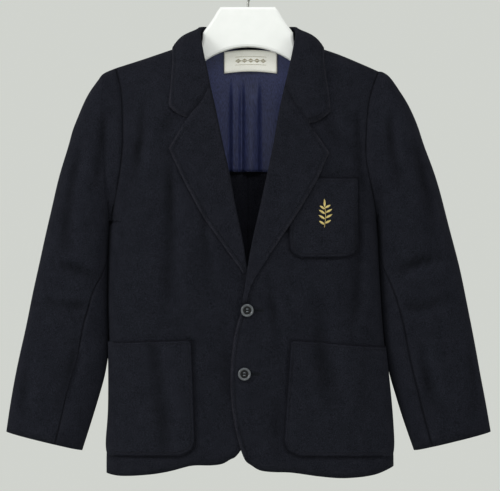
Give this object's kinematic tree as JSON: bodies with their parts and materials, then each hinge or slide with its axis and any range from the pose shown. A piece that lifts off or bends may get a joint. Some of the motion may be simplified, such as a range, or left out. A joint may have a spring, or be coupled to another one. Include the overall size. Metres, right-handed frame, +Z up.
{
  "type": "blazer on a hanger",
  "caption": "Boy's navy wool blazer with notched lapels and patch pockets, hanging buttoned on a moulded hanger.",
  "frame": {"origin": "inside top of the hanger's hook, where it hangs on a rail", "axes": "+Z up, out of the hook's mount; -Y is the front of the blazer; +X is the wearer's left"},
  "size_m": [0.6955, 0.0919, 0.7367],
  "materials": {
    "wool": "brushed navy flannel",
    "lining": "navy sateen",
    "label": "cream damask",
    "button": "semi-gloss",
    "hanger": "white, semi-gloss",
    "wire": "plated wire"
  },
  "bodies": {
    "root": {"front_left": "wool", "front_right": "wool", "back_left": "wool", "back_right": "wool", "sleeve_top_left": "wool", "sleeve_top_right": "wool", "sleeve_under_left": "wool", "sleeve_under_right": "wool", "collar": "wool", "lapel_left": "wool", "lapel_right": "wool", "pocket_chest": "wool", "pocket_hip_left": "wool", "pocket_hip_right": "wool", "lining_back": "lining", "label": "label", "button_top": "button", "button_bottom": "button", "hanger_body": "hanger", "hanger_hook": "wire"}
  },
  "joints": []
}
